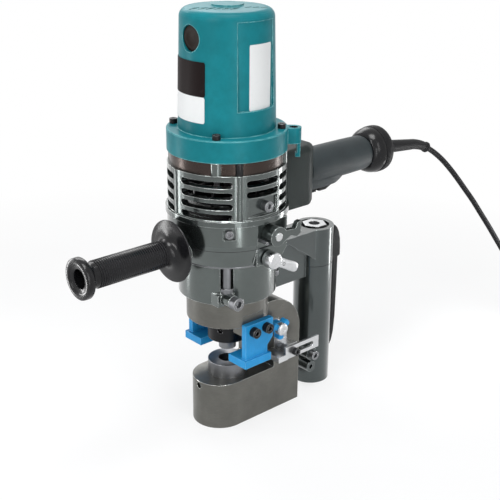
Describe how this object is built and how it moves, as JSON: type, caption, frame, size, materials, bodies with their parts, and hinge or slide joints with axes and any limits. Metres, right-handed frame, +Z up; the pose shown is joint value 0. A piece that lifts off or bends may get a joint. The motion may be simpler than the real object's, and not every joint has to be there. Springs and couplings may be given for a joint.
{
  "type": "portable hydraulic hole punch",
  "caption": "Portable electric hydraulic hole punch: C-frame with ram, punch and die, pump casing with levers, motor, oil reservoir and two handles.",
  "frame": {"origin": "centre of the slug hole on the underside of the jaw, under the punch axis", "axes": "+Z up the punch axis, +X back towards the switch handle, -Y to the lever side"},
  "size_m": [0.9261, 0.2151, 0.527],
  "materials": {
    "teal_housing": "painted teal casting, satin gloss",
    "cast_dark": "dark grey die casting",
    "cast_grey": "grey die casting",
    "frame_steel": "machined forged steel, warm grey",
    "bronze_band": "machined, bronze toned",
    "black_screw": "black oxide steel",
    "bright_steel": "bright plated steel",
    "tool_steel": "ground tool steel",
    "blue_steel": "bright blue coating",
    "grip_plastic": "textured dark grey plastic",
    "black_plastic": "moulded black plastic",
    "rubber": "black rubber",
    "copper": "copper winding",
    "bronze": "bearing bronze",
    "carbon": "carbon block"
  },
  "bodies": {
    "machine": {"c_frame": "frame_steel", "die": "tool_steel", "die_screw": "black_screw", "left_stripper": "blue_steel", "right_stripper": "blue_steel", "stripper_screws": "black_screw", "cylinder_block": "cast_grey", "tie_bolts": "black_screw", "lock_bolt": "black_screw", "rod_bush": "bronze", "rod_seal": "rubber", "pump_casing": "cast_grey", "port_plugs": "black_screw", "stop_pin": "tool_steel", "pump_block": "tool_steel", "plungers": "tool_steel", "pump_bearings": "tool_steel", "vent_housing": "cast_dark", "spacer_ring": "bronze_band", "lower_bearing": "tool_steel", "upper_bearing": "tool_steel", "motor_housing": "teal_housing", "housing_screws": "black_screw", "brush_caps": "black_plastic", "carbon_brushes": "carbon", "stator_core": "tool_steel", "field_coils": "copper", "reservoir": "cast_dark", "filler_plug": "bright_steel", "rear_guard": "rubber", "gauge_bracket": "tool_steel", "gauge_screw": "black_screw", "side_handle": "black_plastic", "handle_stud": "tool_steel", "handle_bracket": "grip_plastic", "switch_grip": "grip_plastic", "switch_block": "black_plastic", "end_bell": "black_plastic", "cord_guard": "rubber", "cord": "rubber", "cord_coil": "rubber", "plug": "black_plastic"},
    "ram": {"ram": "tool_steel", "piston_seal": "rubber", "punch_holder": "black_screw", "punch": "tool_steel"},
    "armature": {"armature_shaft": "tool_steel", "armature_core": "copper", "commutator": "copper", "fan": "black_plastic"},
    "pump_drive": {"drive_gear": "tool_steel", "eccentric_shaft": "tool_steel"},
    "release_lever": {"release_lever": "bright_steel", "release_spindle": "bright_steel"},
    "selector_lever": {"selector_lever": "cast_dark", "selector_spindle": "bright_steel"},
    "gauge": {"gauge": "bright_steel"},
    "wing_knob": {"wing_knob": "blue_steel"},
    "trigger": {"trigger": "black_plastic"},
    "lock_lever": {"lock_lever": "black_plastic"}
  },
  "joints": [
    {"name": "ram_stroke", "type": "slide", "parent": "machine", "child": "ram", "axis": [0, 0, -1], "range_m": [0, 0.022]},
    {"name": "motor_spin", "type": "hinge", "parent": "machine", "child": "armature", "pos_m": [0, 0, 0.43], "axis": [0, 0, 1], "continuous": true},
    {"name": "pump_spin", "type": "hinge", "parent": "machine", "child": "pump_drive", "pos_m": [0.03, 0, 0.27], "axis": [0, 0, 1], "continuous": true},
    {"name": "release_turn", "type": "hinge", "parent": "machine", "child": "release_lever", "pos_m": [0.003, -0.077, 0.239], "axis": [0, 1, 0], "range_deg": [-10, 45]},
    {"name": "selector_turn", "type": "hinge", "parent": "machine", "child": "selector_lever", "pos_m": [0.005, -0.08, 0.27], "axis": [0, 1, 0], "range_deg": [-15, 15]},
    {"name": "gauge_slide", "type": "slide", "parent": "machine", "child": "gauge", "axis": [-1, 0, 0], "range_m": [0, 0.031]},
    {"name": "knob_turn", "type": "hinge", "parent": "machine", "child": "wing_knob", "pos_m": [0.0425, -0.05, 0.127], "axis": [0, -1, 0], "continuous": true},
    {"name": "trigger_pull", "type": "hinge", "parent": "machine", "child": "trigger", "pos_m": [0.186, 0, 0.289], "axis": [0, 1, 0], "range_deg": [0, 6], "stiffness_Nm_per_rad": 0.6, "springref_deg": -8.59},
    {"name": "lock_press", "type": "hinge", "parent": "machine", "child": "lock_lever", "pos_m": [0.128, 0, 0.278], "axis": [0, 1, 0], "range_deg": [0, 8], "stiffness_Nm_per_rad": 0.06, "springref_deg": -11.46}
  ],
  "couplings": [
    {"joint": "pump_spin", "follows": "motor_spin", "ratio": -0.42857}
  ]
}
